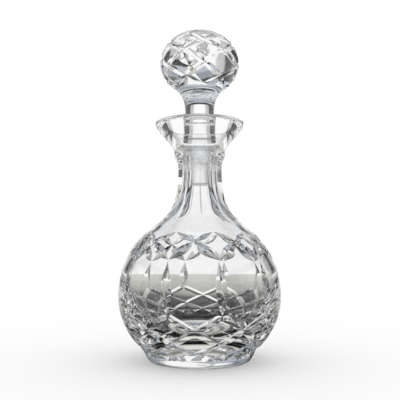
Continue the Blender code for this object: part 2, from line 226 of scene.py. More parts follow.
# %% [markdown]
# ### Running a wheel over the glass
#
# The wheel's path is a line of points above the glass. Each point knows which way is out of the
# glass and how large the wheel's section is there, so the cut runs in and out gently. The tree
# draws the section along the path, copies it round the axis and takes it away from the glass.

# %% The cutting tree
cutting = GeometryTree("Wheel cuts", {"Path": "Object", "Section": "Object", "Cuts": "Int",
                                      "Start": "Float", "Step": "Float", "Glass": "Material"})


def drawn_line(name):
    """The line that an input object holds, as a curve."""
    drawing = cutting.add("GeometryNodeObjectInfo", values={"Object": cutting.given(name)},
                          output="Geometry")
    return cutting.add("GeometryNodeMeshToCurve", values={"Mesh": drawing})


outwards = cutting.add("GeometryNodeInputNamedAttribute", {"data_type": "FLOAT_VECTOR"},
                       {"Name": "outwards"})
wheel_size = cutting.add("GeometryNodeInputNamedAttribute", {"data_type": "FLOAT"},
                         {"Name": "wheel_size"})
upright = cutting.add("GeometryNodeSetCurveNormal", {"mode": "FREE"},
                      {"Curve": drawn_line("Path"), "Normal": outwards})
wheel = cutting.add("GeometryNodeCurveToMesh",
                    values={"Curve": upright, "Profile Curve": drawn_line("Section"), "Scale": wheel_size,
                            "Fill Caps": True})
order = cutting.add("GeometryNodeInputIndex")
turn = cutting.add("ShaderNodeCombineXYZ",
                   values={"Z": cutting.given("Start") + cutting.given("Step") * order})
places = cutting.add("GeometryNodePoints", values={"Count": cutting.given("Cuts")})
wheels = cutting.add("GeometryNodeInstanceOnPoints",
                     values={"Points": places, "Instance": wheel, "Rotation": turn})
solid = cutting.add("GeometryNodeRealizeInstances", values={"Geometry": wheels})
cutting.close(cutting.add("GeometryNodeMeshBoolean", {"operation": "DIFFERENCE", "solver": "MANIFOLD"},
                          {"Mesh 1": cutting.given("Geometry"), "Mesh 2": solid}))
print("cutting tree", len(cutting.nodes), "nodes")

# %% [markdown]
# ### Crisp edges, smooth faces
#
# Polish leaves the blank without a ripple but keeps the edge of each cut sharp enough to catch
# the light. Faces are shaded smooth, and an edge stays sharp where its two faces meet at more
# than a few degrees.

# %% The polishing tree
polishing = GeometryTree("Polish", {"Sharp Angle": "Float", "Glass": "Material"})
angle = polishing.add("GeometryNodeInputMeshEdgeAngle")
smooth_faces = polishing.add("GeometryNodeSetShadeSmooth", {"domain": "FACE"},
                             {"Geometry": polishing.given("Geometry"), "Shade Smooth": True})
gentle = angle < polishing.given("Sharp Angle")
polishing.close(polishing.add("GeometryNodeSetShadeSmooth", {"domain": "EDGE"},
                              {"Geometry": smooth_faces, "Shade Smooth": gentle}))
print("polishing tree", len(polishing.nodes), "nodes")

# %% [markdown]
# ## The outline of the blank
#
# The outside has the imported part's own sizes. The belly is two half ellipses on its widest circle.
# The lower one is drawn down past the table and cut off by the foot, and shoulder, neck, collar
# and lip stand on it one above the other.
#
# Inside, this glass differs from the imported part. Its wall grows thicker towards the foot, its rim
# is wider and its ground taper shorter. Glass shows its inner face as clearly as its outer one, so
# the place of the hollow decides where the rear cuts appear through the front.

# %% Sizes of the decanter
BELLY_RADIUS = 63.8 * MM
BELLY_HEIGHT = 51.2 * MM
BELLY_DROP = BELLY_HEIGHT * 1.142
BELLY_RISE = 65.2 * MM
FOOT_FACE_RADIUS = 35.9 * MM
FOOT_HEIGHT = 9.4 * MM
FOOT_SLOPE = math.radians(36.0)
HEEL_FILLET = 5.4 * MM
SHOULDER_SHARE = 0.7565
SHOULDER_HANDLE = 16.3 * MM
SHOULDER_HEIGHT = BELLY_HEIGHT + BELLY_RISE * SHOULDER_SHARE
NECK_RADIUS = 19.5 * MM
NECK_HEIGHT = SHOULDER_HEIGHT + 47.3 * MM
NECK_HANDLE = 34.0 * MM
COLLAR_RADIUS = NECK_RADIUS + 0.7 * MM
COLLAR_HEIGHT = NECK_HEIGHT + 15.2 * MM
LIP_RADIUS = 35.3 * MM
LIP_HEIGHT = COLLAR_HEIGHT + 24.0 * MM
LIP_HANDLE = 8.0 * MM
RIM_HEIGHT = LIP_HEIGHT + 1.8 * MM
RIM_WIDTH = 5.0 * MM
RIM_FLAT = 0.1 * MM
MOUTH_FILLET = 4.4 * MM
MOUTH_RADIUS = LIP_RADIUS - RIM_WIDTH - RIM_FLAT - MOUTH_FILLET
HOLLOW_RADIUS = 58.0 * MM
HOLLOW_HEIGHT = 62.0 * MM
BASE_THICKNESS = 11.0 * MM
INNER_SHOULDER = (36.7 * MM, 99.3 * MM)
INNER_SHOULDER_SLOPE = (-0.781, 0.625)
INNER_SHOULDER_HANDLES = (14.0 * MM, 10.0 * MM, 22.0 * MM)
BORE_RADIUS = 8.3 * MM
BORE_HANDLE = 26.0 * MM
TAPER_LENGTH = 15.6 * MM
TAPER_WIDENING = 1.4 * MM
THROAT_RADIUS = BORE_RADIUS + TAPER_WIDENING
THROAT_HEIGHT = NECK_HEIGHT + TAPER_LENGTH
SEAT_WIDTH = 4.0 * MM
SEAT_ANGLE = math.radians(45.0)
FUNNEL_ANGLE = math.radians(52.0)
MOUTH_ANGLE = math.radians(72.0)
SEAT_RADIUS = THROAT_RADIUS + SEAT_WIDTH
FUNNEL_HANDLE = 9.0 * MM
FOOT_RECESS = 1.4 * MM
FOOT_RING_WIDTH = 7.5 * MM
FOOT_RING_INNER = FOOT_FACE_RADIUS - FOOT_RING_WIDTH
STAR_MARGIN = 3.1 * MM
STAR_RADIUS = FOOT_RING_INNER - FOOT_RECESS - STAR_MARGIN
STAR_RAYS = 16
STAR_DEPTH = 2.6 * MM
STAR_OVERRUN = 0.2 * MM
STAR_VALLEY_SHARE = 0.38
print("rim at", round(RIM_HEIGHT / MM, 1), "mm")

# %% Lines of an outline
WELD_DISTANCE = 0.05 * MM


def bezier(start, start_handle, end_handle, end, steps):
    """Points of a cubic curve, both ends included."""
    points = []
    for step in range(steps + 1):
        t = step / steps
        u = 1 - t
        weights = (u ** 3, 3 * u * u * t, 3 * u * t * t, t ** 3)
        corners = (start, start_handle, end_handle, end)
        points.append(tuple(sum(w * c[axis] for w, c in zip(weights, corners)) for axis in (0, 1)))
    return points


def ellipse_arc(centre, radii, start_angle, end_angle, steps):
    """Points of an elliptical arc, both ends included; angle 0 points outwards, 90 degrees up."""
    angles = [start_angle + (end_angle - start_angle) * step / steps for step in range(steps + 1)]
    return [(centre[0] + radii[0] * math.cos(a), centre[1] + radii[1] * math.sin(a)) for a in angles]


def straight(start, end, steps):
    """Points of a straight line, both ends included."""
    return [tuple(a + (b - a) * step / steps for a, b in zip(start, end)) for step in range(steps + 1)]


def join(*runs):
    """One outline from several runs whose ends meet."""
    outline = list(runs[0])
    for run in runs[1:]:
        outline.extend(run[1:] if math.dist(outline[-1], run[0]) < WELD_DISTANCE else run)
    return outline


def ellipse_tangent(radius, half_axis, angle):
    """Unit direction of an ellipse at an angle, going up."""
    return Vector((-radius * math.sin(angle), half_axis * math.cos(angle))).normalized()


# %% Outside of the decanter
def outer_outline():
    """Outside of the blank as (radius, height), from the foot up to the top of the rim."""
    centre = (0, BELLY_HEIGHT)
    heel = ellipse_arc((FOOT_FACE_RADIUS, HEEL_FILLET), (HEEL_FILLET, HEEL_FILLET),
                       -math.pi / 2, -FOOT_SLOPE, 8)
    low = math.asin((FOOT_HEIGHT - BELLY_HEIGHT) / BELLY_DROP)
    high = math.asin(SHOULDER_SHARE)
    lower = ellipse_arc(centre, (BELLY_RADIUS, BELLY_DROP), low, 0, 34)
    upper = ellipse_arc(centre, (BELLY_RADIUS, BELLY_RISE), 0, high, 34)
    slope = straight(heel[-1], lower[0], 4)
    start = Vector(upper[-1])
    tangent = ellipse_tangent(BELLY_RADIUS, BELLY_RISE, high)
    neck = bezier(start, start + tangent * SHOULDER_HANDLE, (NECK_RADIUS, NECK_HEIGHT - NECK_HANDLE),
                  (NECK_RADIUS, NECK_HEIGHT), 36)
    collar = straight((NECK_RADIUS, NECK_HEIGHT), (COLLAR_RADIUS, COLLAR_HEIGHT), 6)
    lip = bezier((COLLAR_RADIUS, COLLAR_HEIGHT), (COLLAR_RADIUS, COLLAR_HEIGHT + LIP_HANDLE),
                 (LIP_RADIUS, LIP_HEIGHT - LIP_HANDLE), (LIP_RADIUS, LIP_HEIGHT), 20)
    rim = ellipse_arc((LIP_RADIUS - RIM_WIDTH, LIP_HEIGHT), (RIM_WIDTH, RIM_HEIGHT - LIP_HEIGHT),
                      0, math.pi / 2, 8)
    return join(heel, slope, lower, upper, neck, collar, lip, rim)


# %% Hollow of the decanter
def inner_outline():
    """Hollow as (radius, height), from its floor up to the inner edge of the rim."""
    lower = ellipse_arc((0, HOLLOW_HEIGHT), (HOLLOW_RADIUS, HOLLOW_HEIGHT - BASE_THICKNESS),
                        -math.pi / 2, 0, 26)
    lower[0] = (0, lower[0][1])
    shoulder, slope = Vector(INNER_SHOULDER), Vector(INNER_SHOULDER_SLOPE)
    rise, fall, stretch = INNER_SHOULDER_HANDLES
    upper = bezier((HOLLOW_RADIUS, HOLLOW_HEIGHT), (HOLLOW_RADIUS, HOLLOW_HEIGHT + rise),
                   shoulder - slope * fall, shoulder, 24)
    neck = bezier(shoulder, shoulder + slope * stretch, (BORE_RADIUS, NECK_HEIGHT - BORE_HANDLE),
                  (BORE_RADIUS, NECK_HEIGHT), 24)
    taper = straight((BORE_RADIUS, NECK_HEIGHT), (THROAT_RADIUS, THROAT_HEIGHT), 4)
    seat = Vector((SEAT_RADIUS, THROAT_HEIGHT + SEAT_WIDTH * math.tan(SEAT_ANGLE)))
    mouth = Vector((MOUTH_RADIUS, LIP_HEIGHT))
    funnel = bezier(seat, seat + Vector((math.cos(FUNNEL_ANGLE), math.sin(FUNNEL_ANGLE))) * FUNNEL_HANDLE,
                    mouth - Vector((math.cos(MOUTH_ANGLE), math.sin(MOUTH_ANGLE))) * FUNNEL_HANDLE, mouth, 14)
    edge = ellipse_arc((MOUTH_RADIUS + MOUTH_FILLET, LIP_HEIGHT), (MOUTH_FILLET, RIM_HEIGHT - LIP_HEIGHT),
                       math.pi, math.pi / 2, 8)
    return join(lower, upper, neck, taper, funnel, edge)


# %% [markdown]
# ## The stopper's outline
#
# The stopper is solid: a ball, a stem, a plain shank that fills the mouth, a sloping seat and a
# tapered peg. Seat and peg are ground to fit the decanter, with a hair of air between them here.

# %% Sizes and outline of the stopper
SEAT_CLEARANCE = 0.3 * MM
PEG_BOTTOM = NECK_HEIGHT - 10.4 * MM
PEG_CHAMFER = 0.8 * MM
SHANK_RADIUS = SEAT_RADIUS - 0.5 * MM
SHANK_TOP = RIM_HEIGHT + 4.7 * MM
SHANK_FILLET = 1.2 * MM
STEM_RADIUS = 11.9 * MM
STEM_HEIGHT = SHANK_TOP + 5.9 * MM
STEM_HANDLE = 7.5 * MM
BALL_RADIUS = 31.9 * MM
BALL_RISE = 26.5 * MM
BALL_HEIGHT = STEM_HEIGHT + 36.7 * MM
BALL_NECK_SHARE = 0.8
BALL_HANDLE = 4.0 * MM
PEG_TOP = (THROAT_RADIUS - SEAT_CLEARANCE, THROAT_HEIGHT + SEAT_CLEARANCE * math.tan(SEAT_ANGLE / 2))


def stopper_outline():
    """Outside of the stopper's blank as (radius, height), from the peg's end up to its top."""
    end_radius = PEG_TOP[0] - TAPER_WIDENING / TAPER_LENGTH * (PEG_TOP[1] - PEG_BOTTOM)
    end = ellipse_arc((end_radius - PEG_CHAMFER, PEG_BOTTOM + PEG_CHAMFER), (PEG_CHAMFER, PEG_CHAMFER),
                      -math.pi / 2, 0, 6)
    shank_bottom = (SHANK_RADIUS, PEG_TOP[1] + (SHANK_RADIUS - PEG_TOP[0]) * math.tan(SEAT_ANGLE))
    shoulder = ellipse_arc((SHANK_RADIUS - SHANK_FILLET, SHANK_TOP - SHANK_FILLET),
                           (SHANK_FILLET, SHANK_FILLET), 0, math.pi / 2, 6)
    peg = straight(end[-1], PEG_TOP, 8)
    shank = straight(shank_bottom, shoulder[0], 6)
    neck_angle = -math.asin(BALL_NECK_SHARE)
    ball = ellipse_arc((0, BALL_HEIGHT), (BALL_RADIUS, BALL_RISE), neck_angle, math.pi / 2, 56)
    ball[-1] = (0, ball[-1][1])
    joint = Vector(ball[0])
    stem = bezier((STEM_RADIUS, STEM_HEIGHT), (STEM_RADIUS, STEM_HEIGHT + STEM_HANDLE),
                  joint - ellipse_tangent(BALL_RADIUS, BALL_RISE, neck_angle) * BALL_HANDLE, joint, 16)
    cove = straight(shoulder[-1], stem[0], 3)
    return join([(0, PEG_BOTTOM)], end, peg, shank, shoulder, cove, stem, ball)


# %% [markdown]
# ## Where the wheels go
#
# A path lies on the blank's surface, so each of its points needs the surface's place and its
# outward direction at a turn and a height. Turn 0 faces the viewer.

# %% Surfaces that paths lie on
SLOPE_STEP = 0.4 * MM


class BlankSurface:
    """Outside of the decanter's blank, with height as the place on it."""

    def __init__(self, outline):
        self.outline = outline

    def radius(self, height):
        for (r0, z0), (r1, z1) in zip(self.outline, self.outline[1:]):
            if z0 <= height <= z1:
                return r0 + (r1 - r0) * (height - z0) / max(z1 - z0, MERGE_DISTANCE)
        return self.outline[-1][0]

    def at(self, turn, height):
        slope = (self.radius(height + SLOPE_STEP) - self.radius(height - SLOPE_STEP)) / (2 * SLOPE_STEP)
        outwards = Vector((math.sin(turn), -math.cos(turn), 0))
        point = outwards * self.radius(height) + Vector((0, 0, height))
        return point, (outwards - Vector((0, 0, slope))).normalized()


class BallSurface:
    """The stopper's ball, with the outline's own latitude as the place on it."""

    def at(self, turn, latitude):
        outwards = Vector((math.sin(turn), -math.cos(turn), 0))
        across, up = math.cos(latitude), math.sin(latitude)
        point = outwards * (BALL_RADIUS * across) + Vector((0, 0, BALL_HEIGHT + BALL_RISE * up))
        return point, (outwards * (across / BALL_RADIUS) + Vector((0, 0, up / BALL_RISE))).normalized()


# %% [markdown]
# ## Scratch drawings
#
# Outlines, paths and wheel sections are drawn as meshes of bare edges. They are tools, not part
# of the object, so they live in a collection of their own that goes away when the glass is cut.

# %% Drawing a line
tools = bpy.data.collections.new("Wheels and outlines")
bpy.context.scene.collection.children.link(tools)


def draw_line(name, points, closed=False, **attributes):
    """A bare line with named values on its points."""
    mesh = bpy.data.meshes.new(name)
    edges = [(start, start + 1) for start in range(len(points) - 1)]
    if closed:
        edges.append((len(points) - 1, 0))
    mesh.from_pydata(points, edges, [])
    for attribute, values in attributes.items():
        if isinstance(values[0], Vector):
            layer = mesh.attributes.new(attribute, "FLOAT_VECTOR", "POINT")
            layer.data.foreach_set("vector", [number for value in values for number in value])
        else:
            layer = mesh.attributes.new(attribute, "FLOAT", "POINT")
            layer.data.foreach_set("value", values)
    line = bpy.data.objects.new(name, mesh)
    tools.objects.link(line)
    line.hide_render = True
    return line


# %% Sections of the wheels
LATTICE_HALF_ANGLE = math.radians(60)
LEAF_HALF_ANGLE = math.radians(55)
WEDGE_HALF_ANGLE = math.radians(57)
CUTTER_RISE = 2.2 * MM
BALL_CUTTER_RISE = 1.4 * MM
TIP_LIFT = 0.1 * MM


def v_section(name, half_angle):
    """A V that opens outwards, one unit deep."""
    reach = math.tan(half_angle)
    return draw_line(name, [(-1, 0, 0), (0, -reach, 0), (0, reach, 0)], closed=True)


lattice_section = v_section("lattice_section", LATTICE_HALF_ANGLE)
leaf_section = v_section("leaf_section", LEAF_HALF_ANGLE)
wedge_section = v_section("wedge_section", WEDGE_HALF_ANGLE)
half_angles = (LATTICE_HALF_ANGLE, LEAF_HALF_ANGLE, WEDGE_HALF_ANGLE)
print("wheel angles", [round(math.degrees(2 * half)) for half in half_angles])


def mitre_path(name, stations, rise):
    """Path of a V wheel from (point on the glass, outward direction, depth)."""
    return draw_line(name, [point + normal * rise for point, normal, depth in stations],
                     outwards=[normal for point, normal, depth in stations],
                     wheel_size=[depth + rise for point, normal, depth in stations])


# %% [markdown]
# ## The pattern
#
# Ten repeats go round the decanter. From the top: a band of leaves where two leans of mitres
# cross, tall wedges that part the belly into windows, and a lattice of long mitres down to the
# foot. The lattice crosses on rows that draw together as the glass curves in, so each line is
# a smooth curve through those rows.
#
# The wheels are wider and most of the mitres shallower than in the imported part.

# %% Sizes of the pattern
REPEATS = 10
PITCH = FULL_TURN / REPEATS
SHOULDER_TURN = math.radians(-4.7)
LATTICE_TURN = math.radians(-3.3)
LEAF_SHARES = (0.742, 0.633, 0.431)
LEAF_TOP, LEAF_CROSSING, LEAF_BOTTOM = (BELLY_HEIGHT + BELLY_RISE * share for share in LEAF_SHARES)
LEAF_STEPS = 14
UPPER_LEAF_DEPTH = 1.6 * MM
LOWER_LEAF_DEPTH = 2.7 * MM
LEAF_CROSSING_DEPTH = 0.3 * MM
LEAF_CURVE = 1.5
WEDGE_DEPTH = 3.0 * MM
WEDGE_WIDEST_SHARE = 0.55
WEDGE_STEPS = 24
LATTICE_ROWS = [BELLY_HEIGHT * share for share in (0.789, 0.570, 0.377, 0.242, 0.142)]
LATTICE_DEPTH = 1.75 * MM
LATTICE_RAMP_SHARE = 0.04
FLUTE_TURN = math.radians(-14.0)
FLUTE_SHARES = (0.961, 0.839, 0.408, 0.184, 0.040)
FLUTE_DEPTH = 2.5 * MM
FLUTE_DEPTHS = [FLUTE_DEPTH * share for share in (-0.1, 1.0, 0.88, 0.68, -0.1)]
FLUTE_OVERLAP = 1.5
FLUTE_HALF_WIDTH = NECK_RADIUS * math.tan(PITCH / 2) * FLUTE_OVERLAP
FLUTE_HEIGHTS = [SHOULDER_HEIGHT + (COLLAR_HEIGHT - SHOULDER_HEIGHT) * share for share in FLUTE_SHARES]
BALL_REPEATS = 6
BALL_PITCH = FULL_TURN / BALL_REPEATS
BALL_TURN = math.radians(7.0)
BALL_LATITUDES = [math.radians(angle) for angle in (66.0, 44.0, 25.0, 8.3, -15.0, -36.3, -51.0)]
BALL_CUT_DEPTH = 1.7 * MM
BALL_RAMP_SHARE = 0.25
STEPS_PER_ROW = 9
print("pattern of", REPEATS, "repeats, ball of", BALL_REPEATS)


# %% Lines through rows
def smooth_rows(rows, steps):
    """Places on a smooth line through rows a half pitch apart, and each one's share of the way."""
    count = len(rows) - 1
    places = []
    for step in range(count * steps + 1):
        along = step / steps
        row = min(int(along), count - 1)
        t = along - row
        before = rows[row - 1] if row > 0 else 2 * rows[0] - rows[1]
        after = rows[row + 2] if row + 2 <= count else 2 * rows[count] - rows[count - 1]
        start, end = rows[row], rows[row + 1]
        place = 0.5 * (2 * start + (end - before) * t
                       + (2 * before - 5 * start + 4 * end - after) * t ** 2
                       + (3 * start - before - 3 * end + after) * t ** 3)
        places.append((along, place))
    return places


def ramp(share, width):
    """Depth share of a cut that a round wheel runs in and out of the glass."""
    inside = min(share, 1 - share)
    return 1 - (1 - min(inside / width, 1)) ** 2


# %% Paths of the mitres
def lattice_path(name, surface, rows, first_turn, pitch, lean, depth, ramp_share, rise):
    """One long mitre that leans to one side and passes through rows half a pitch apart."""
    stations = []
    for along, place in smooth_rows(rows, STEPS_PER_ROW):
        point, normal = surface.at(first_turn + lean * pitch / 2 * along, place)
        stations.append((point, normal, depth * ramp(along / (len(rows) - 1), ramp_share) - TIP_LIFT))
    return mitre_path(name, stations, rise)


def leaf_path(name, blank, lean):
    """One line of the shoulder band: a leaf above a leaf."""
    rows = ((LEAF_TOP, LEAF_CROSSING, UPPER_LEAF_DEPTH), (LEAF_CROSSING, LEAF_BOTTOM, LOWER_LEAF_DEPTH))
    stations = []
    for row, (top, bottom, leaf_depth) in enumerate(rows):
        for step in range(row, LEAF_STEPS + 1):
            share = step / LEAF_STEPS
            nearness = 1 - share if row else share
            end_depth = LEAF_CROSSING_DEPTH * nearness - TIP_LIFT * (1 - nearness)
            turn = SHOULDER_TURN + PITCH * lean * (row + share - 1) / 2
            point, normal = blank.at(turn, top + (bottom - top) * share)
            middle_depth = leaf_depth * (1 - abs(2 * share - 1) ** LEAF_CURVE)
            stations.append((point, normal, middle_depth + end_depth))
    return mitre_path(name, stations, CUTTER_RISE)


def wedge_path(name, blank):
    """One tall wedge from a leaf's tip to the top of the lattice."""
    power = math.log(0.5) / math.log(WEDGE_WIDEST_SHARE)
    stations = []
    for step in range(WEDGE_STEPS + 1):
        share = step / WEDGE_STEPS
        turn = SHOULDER_TURN + (LATTICE_TURN - SHOULDER_TURN) * share + PITCH / 2
        point, normal = blank.at(turn, LEAF_BOTTOM + (LATTICE_ROWS[0] - LEAF_BOTTOM) * share)
        stations.append((point, normal, WEDGE_DEPTH * math.sin(math.pi * share ** power) - TIP_LIFT))
    return mitre_path(name, stations, CUTTER_RISE)


# %% Path and section of the flutes
FLUTE_CUTTER_RISE = 3 * CUTTER_RISE
flute_corners = [(0, -FLUTE_HALF_WIDTH, 0), (FLUTE_CUTTER_RISE, -FLUTE_HALF_WIDTH, 0),
                 (FLUTE_CUTTER_RISE, FLUTE_HALF_WIDTH, 0), (0, FLUTE_HALF_WIDTH, 0)]
flute_section = draw_line("flute_section", flute_corners, closed=True)


def flute_path(name, blank):
    """The middle line of one flat flute's floor, down the neck."""
    points = []
    rows = list(zip(FLUTE_HEIGHTS, FLUTE_DEPTHS))
    for row, ((z0, d0), (z1, d1)) in enumerate(zip(rows, rows[1:])):
        for step in range(min(row, 1), STEPS_PER_ROW + 1):
            share = step / STEPS_PER_ROW
            height = z0 + (z1 - z0) * share
            depth = d0 + (d1 - d0) * (math.sin(math.pi / 2 * share) if row == 0 else share)
            points.append(Vector((0, -(blank.radius(height) - depth), height)))
    return draw_line(name, points, outwards=[Vector((0, -1, 0))] * len(points),
                     wheel_size=[1.0] * len(points))


# %% [markdown]
# ## Star under the foot
#
# A cut star closes the pattern underneath, inside a shallow recess, so that the decanter stands on
# a ground ring. It is a very flat cone whose rim is drawn in between the rays.

# %% The star's cutter
def star_wheel():
    """A flat cone with a star-shaped rim, point up."""
    height = STAR_DEPTH + STAR_OVERRUN
    shape = bmesh.new()
    bmesh.ops.create_cone(shape, cap_ends=True, segments=2 * STAR_RAYS,
                          radius1=STAR_RADIUS * height / STAR_DEPTH, radius2=0, depth=height)
    for vertex in shape.verts:
        ray = round(math.atan2(vertex.co.y, vertex.co.x) / FULL_TURN * 2 * STAR_RAYS)
        if vertex.co.z < 0 and ray % 2:
            vertex.co.x *= STAR_VALLEY_SHARE
            vertex.co.y *= STAR_VALLEY_SHARE
        vertex.co.z += FOOT_RECESS - STAR_OVERRUN + height / 2
    mesh = bpy.data.meshes.new("star_wheel")
    shape.to_mesh(mesh)
    shape.free()
    star = bpy.data.objects.new("star_wheel", mesh)
    tools.objects.link(star)
    star.hide_render = True
    return star


# %% [markdown]
# ## Clear crystal
#
# Lead crystal bends light more than window glass, with an index of about 1.545, and has no
# tint. Polished glass has no roughness at all. The peg, the bore's taper and the foot's ring are
# ground to fit or to stand on, so they stay matt: a band of heights and radii marks them. Light
# that falls through the glass to the table is only dimmed a little, which keeps the shadow pale.

# %% Materials
CRYSTAL_IOR = 1.545
SHADOW_TINT = (0.88, 0.88, 0.88, 1.0)


def between(value, low, high):
    """1 where a value lies between two others."""
    return (value > low) * (value < high)


def crystal(name, ground):
    """Clear glass that is matt where ground(radius, height) says so."""
    material = bpy.data.materials.new(name)
    material.use_nodes = True
    material.node_tree.nodes.clear()
    tree = Tree(material.node_tree.nodes)
    place = tree.add("ShaderNodeTexCoord", output="Object")
    x, y, height = (tree.add("ShaderNodeSeparateXYZ", values=[place], output=axis) for axis in "XYZ")
    radius = (x * x + y * y) ** 0.5
    glass = tree.add("ShaderNodeBsdfPrincipled",
                     values={"Base Color": (1.0, 1.0, 1.0, 1.0), "IOR": CRYSTAL_IOR,
                             "Transmission Weight": 1.0, "Roughness": ground(radius, height)})
    clear = tree.add("ShaderNodeBsdfTransparent", values={"Color": SHADOW_TINT})
    shadow_ray = tree.add("ShaderNodeLightPath", output="Is Shadow Ray")
    mixed = tree.add("ShaderNodeMixShader", values=[shadow_ray, glass, clear])
    tree.fill(material.node_tree.nodes.new("ShaderNodeOutputMaterial").inputs["Surface"], mixed)
    return material


GROUND_ROUGHNESS = 0.35
BORE_MARGIN = 0.2 * MM
RING_MARGIN = 0.1 * MM
PEG_MARGIN = 1 * MM


def decanter_ground(radius, height):
    """Matt in the bore's taper and on the ring that stands on the table."""
    taper = between(height, NECK_HEIGHT, THROAT_HEIGHT + SEAT_WIDTH) * (radius < SEAT_RADIUS + BORE_MARGIN)
    return (taper + (height < RING_MARGIN)) * GROUND_ROUGHNESS


def stopper_ground(radius, height):
    """Matt all round the peg, at any radius."""
    return between(height, PEG_BOTTOM - PEG_MARGIN, PEG_TOP[1]) * GROUND_ROUGHNESS


decanter_crystal = crystal("lead_crystal_decanter", decanter_ground)
stopper_crystal = crystal("lead_crystal_stopper", stopper_ground)
print("materials", decanter_crystal.name, stopper_crystal.name)

# %% [markdown]
# ## Cutting the decanter
#
# The modifiers stand in the order of the workshop: turn, flute the neck, cut the leaves, wedges
# and lattice, cut the star, polish. Neighbouring flutes overlap, so every other one is cut first,
# and then the ones between.

# %% The decanter
FACETS = 240
SHARP_ANGLE = math.radians(12)


def plain_mesh(piece, name):
    """The result of a piece's modifiers as the plain mesh of a new object."""
    evaluated = piece.evaluated_get(bpy.context.evaluated_depsgraph_get())
    mesh = bpy.data.meshes.new_from_object(evaluated)
    mesh.name = name
    finished = bpy.data.objects.new(name, mesh)
    bpy.context.scene.collection.objects.link(finished)
    return finished


def start_blank(name, outline, glass):
    """An outline with the turning tree on it."""
    blank = draw_line(name, [(radius, 0, height) for radius, height in outline])
    turning.apply_to(blank, facets=FACETS, glass=glass)
    return blank


outside = outer_outline()
blank_surface = BlankSurface(outside)
underside = join(straight((0, FOOT_RECESS), (FOOT_RING_INNER - FOOT_RECESS, FOOT_RECESS), 6),
                 straight((FOOT_RING_INNER - FOOT_RECESS, FOOT_RECESS), (FOOT_RING_INNER, 0), 2))
ring_face = straight(underside[-1], outside[0], 2)
whole_outline = join(underside, ring_face, outside, list(reversed(inner_outline())))
decanter = start_blank("decanter_blank", whole_outline, decanter_crystal)
flute = flute_path("flute_path", blank_surface)
for first in (0, 1):
    cutting.apply_to(decanter, path=flute, section=flute_section, cuts=REPEATS // 2,
                     start=FLUTE_TURN + PITCH * first, step=2 * PITCH, glass=decanter_crystal)
for lean, side in ((1, "right"), (-1, "left")):
    path = leaf_path(f"leaf_path_{side}", blank_surface, lean)
    cutting.apply_to(decanter, path=path, section=leaf_section, cuts=REPEATS, start=0.0, step=PITCH,
                     glass=decanter_crystal)
cutting.apply_to(decanter, path=wedge_path("wedge_path", blank_surface), section=wedge_section,
                 cuts=REPEATS, start=0.0, step=PITCH, glass=decanter_crystal)
for lean, side in ((1, "right"), (-1, "left")):
    path = lattice_path(f"lattice_path_{side}", blank_surface, LATTICE_ROWS, LATTICE_TURN + PITCH / 2,
                        PITCH, lean, LATTICE_DEPTH, LATTICE_RAMP_SHARE, CUTTER_RISE)
    cutting.apply_to(decanter, path=path, section=lattice_section, cuts=REPEATS, start=0.0, step=PITCH,
                     glass=decanter_crystal)
star = decanter.modifiers.new("Star", "BOOLEAN")
star.operation = "DIFFERENCE"
star.solver = "MANIFOLD"
star.object = star_wheel()
polishing.apply_to(decanter, sharp_angle=SHARP_ANGLE, glass=decanter_crystal)
cut_decanter = plain_mesh(decanter, "cut_decanter")
print("decanter", len(cut_decanter.data.vertices), "vertices", len(cut_decanter.data.polygons), "faces")

# %% [markdown]
# ## Cutting the stopper
#
# Twelve long mitres, six of each lean, wrap the ball from pole to stem. Their crossings leave the
# tight diamonds that make a stopper sparkle.

# %% The stopper
stopper = start_blank("stopper_blank", stopper_outline(), stopper_crystal)
for lean, side in ((1, "right"), (-1, "left")):
    path = lattice_path(f"ball_path_{side}", BallSurface(), BALL_LATITUDES, BALL_TURN, BALL_PITCH, lean,
                        BALL_CUT_DEPTH, BALL_RAMP_SHARE, BALL_CUTTER_RISE)
    cutting.apply_to(stopper, path=path, section=lattice_section, cuts=BALL_REPEATS, start=0.0,
                     step=BALL_PITCH, glass=stopper_crystal)
polishing.apply_to(stopper, sharp_angle=SHARP_ANGLE, glass=stopper_crystal)
cut_stopper = plain_mesh(stopper, "cut_stopper")
print("stopper", len(cut_stopper.data.vertices), "vertices", len(cut_stopper.data.polygons), "faces")

# %% [markdown]
# ## Clearing the bench
#
# The finished meshes hold every cut, so the drawings of outlines, paths and wheels can go. Each
# glass then takes the place of its plain piece and moves with that piece's body.

# %% The tools go away
for tool in list(tools.objects):
    bpy.data.objects.remove(tool, do_unlink=True)
bpy.data.collections.remove(tools)

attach(cut_decanter, "decanter")
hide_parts("decanter_body")
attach(cut_stopper, "stopper")
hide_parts("stopper")

# %% [markdown]
# ## The camera
#
# It stands half a metre away, at the height of the upper belly, and looks up a little. From so
# near, the lip and the ball show their undersides and the foot shows its top. Light crosses many
# faces before it leaves cut glass, and with few bounces the edges would turn black.

# %% Camera
scene = bpy.context.scene
CAMERA_ASIDE = 0.3 * MM
CAMERA_DISTANCE = 500 * MM
CAMERA_HEIGHT = 89.1 * MM
CAMERA_TILT = math.radians(4.19)
SENSOR_WIDTH = 36.0
FOCAL_LENGTH = 56.56
LIGHT_BOUNCES = 24

camera = bpy.data.objects.new("camera", bpy.data.cameras.new("camera"))
scene.collection.objects.link(camera)
camera.data.sensor_width = SENSOR_WIDTH
camera.data.lens = FOCAL_LENGTH
camera.location = (CAMERA_ASIDE, -CAMERA_DISTANCE, CAMERA_HEIGHT)
camera.rotation_euler = (math.pi / 2 + CAMERA_TILT, 0, 0)
scene.camera = camera
scene.view_settings.view_transform = "Standard"
scene.cycles.max_bounces = LIGHT_BOUNCES
scene.cycles.transmission_bounces = LIGHT_BOUNCES
scene.cycles.glossy_bounces = LIGHT_BOUNCES
print("camera", [round(value / MM, 1) for value in camera.location], "mm")

